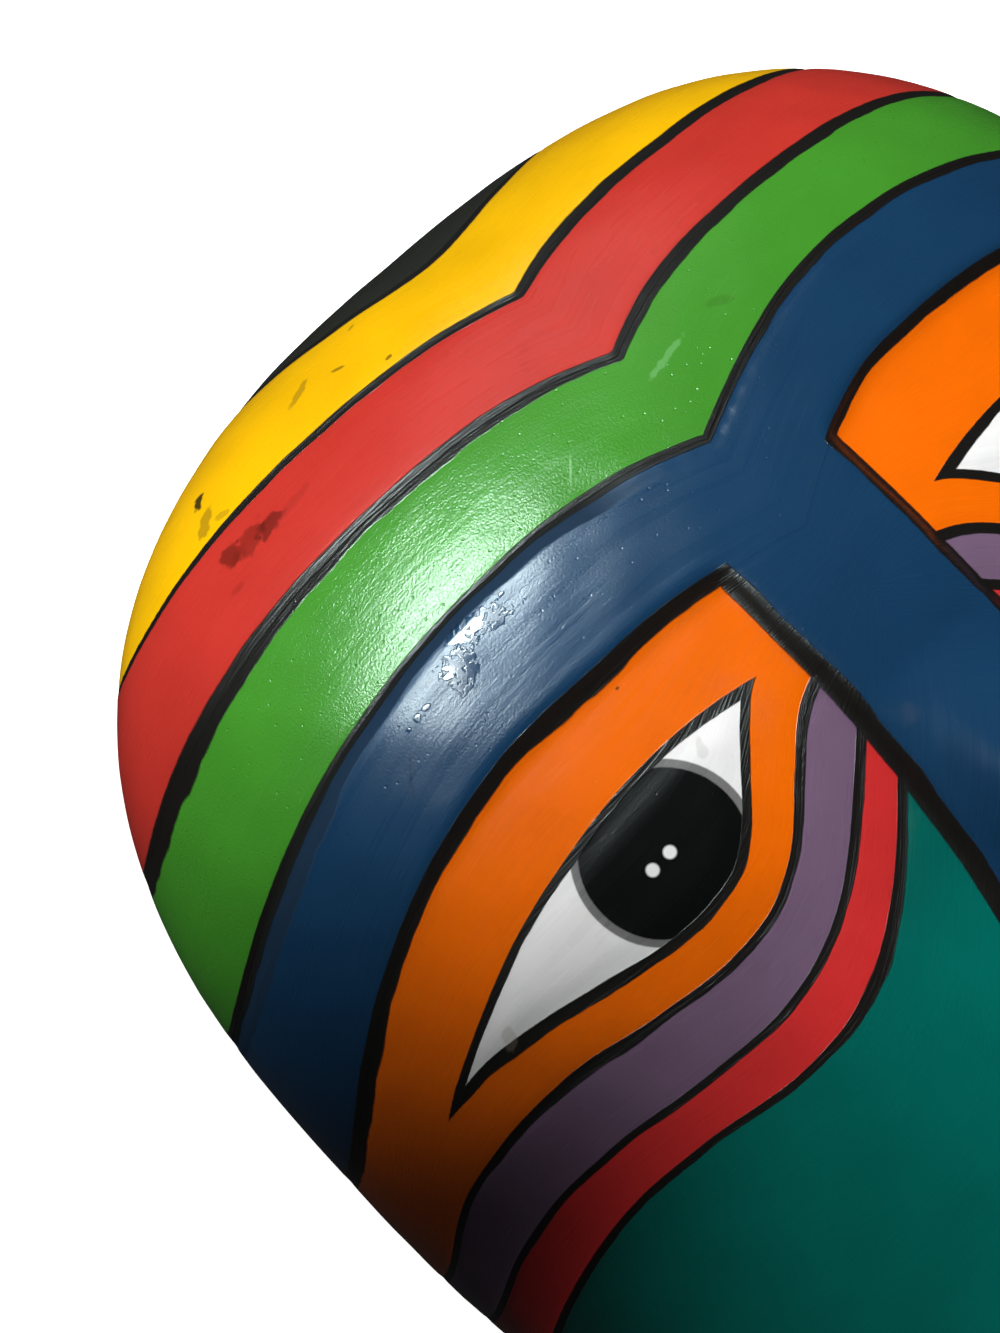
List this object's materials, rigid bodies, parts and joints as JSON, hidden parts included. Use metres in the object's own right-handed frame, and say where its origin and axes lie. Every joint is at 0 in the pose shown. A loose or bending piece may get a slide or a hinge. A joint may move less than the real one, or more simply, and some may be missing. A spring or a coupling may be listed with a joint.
{
  "type": "wooden mask",
  "caption": "Hollow carved wooden face mask with a domed front, a raised nose, sunk eye panels and painted bands; it lies on its flat rim.",
  "frame": {"origin": "on the plane of the rim, at the middle of the outline's box", "axes": "+Z out of the face, +Y to the crown, +X to the viewer's right"},
  "size_m": [0.21, 0.26, 0.0796],
  "materials": {
    "painted_wood": "gloss paint brushed on by hand, bare wood inside"
  },
  "bodies": {
    "root": {"mask": "painted_wood"}
  },
  "joints": []
}
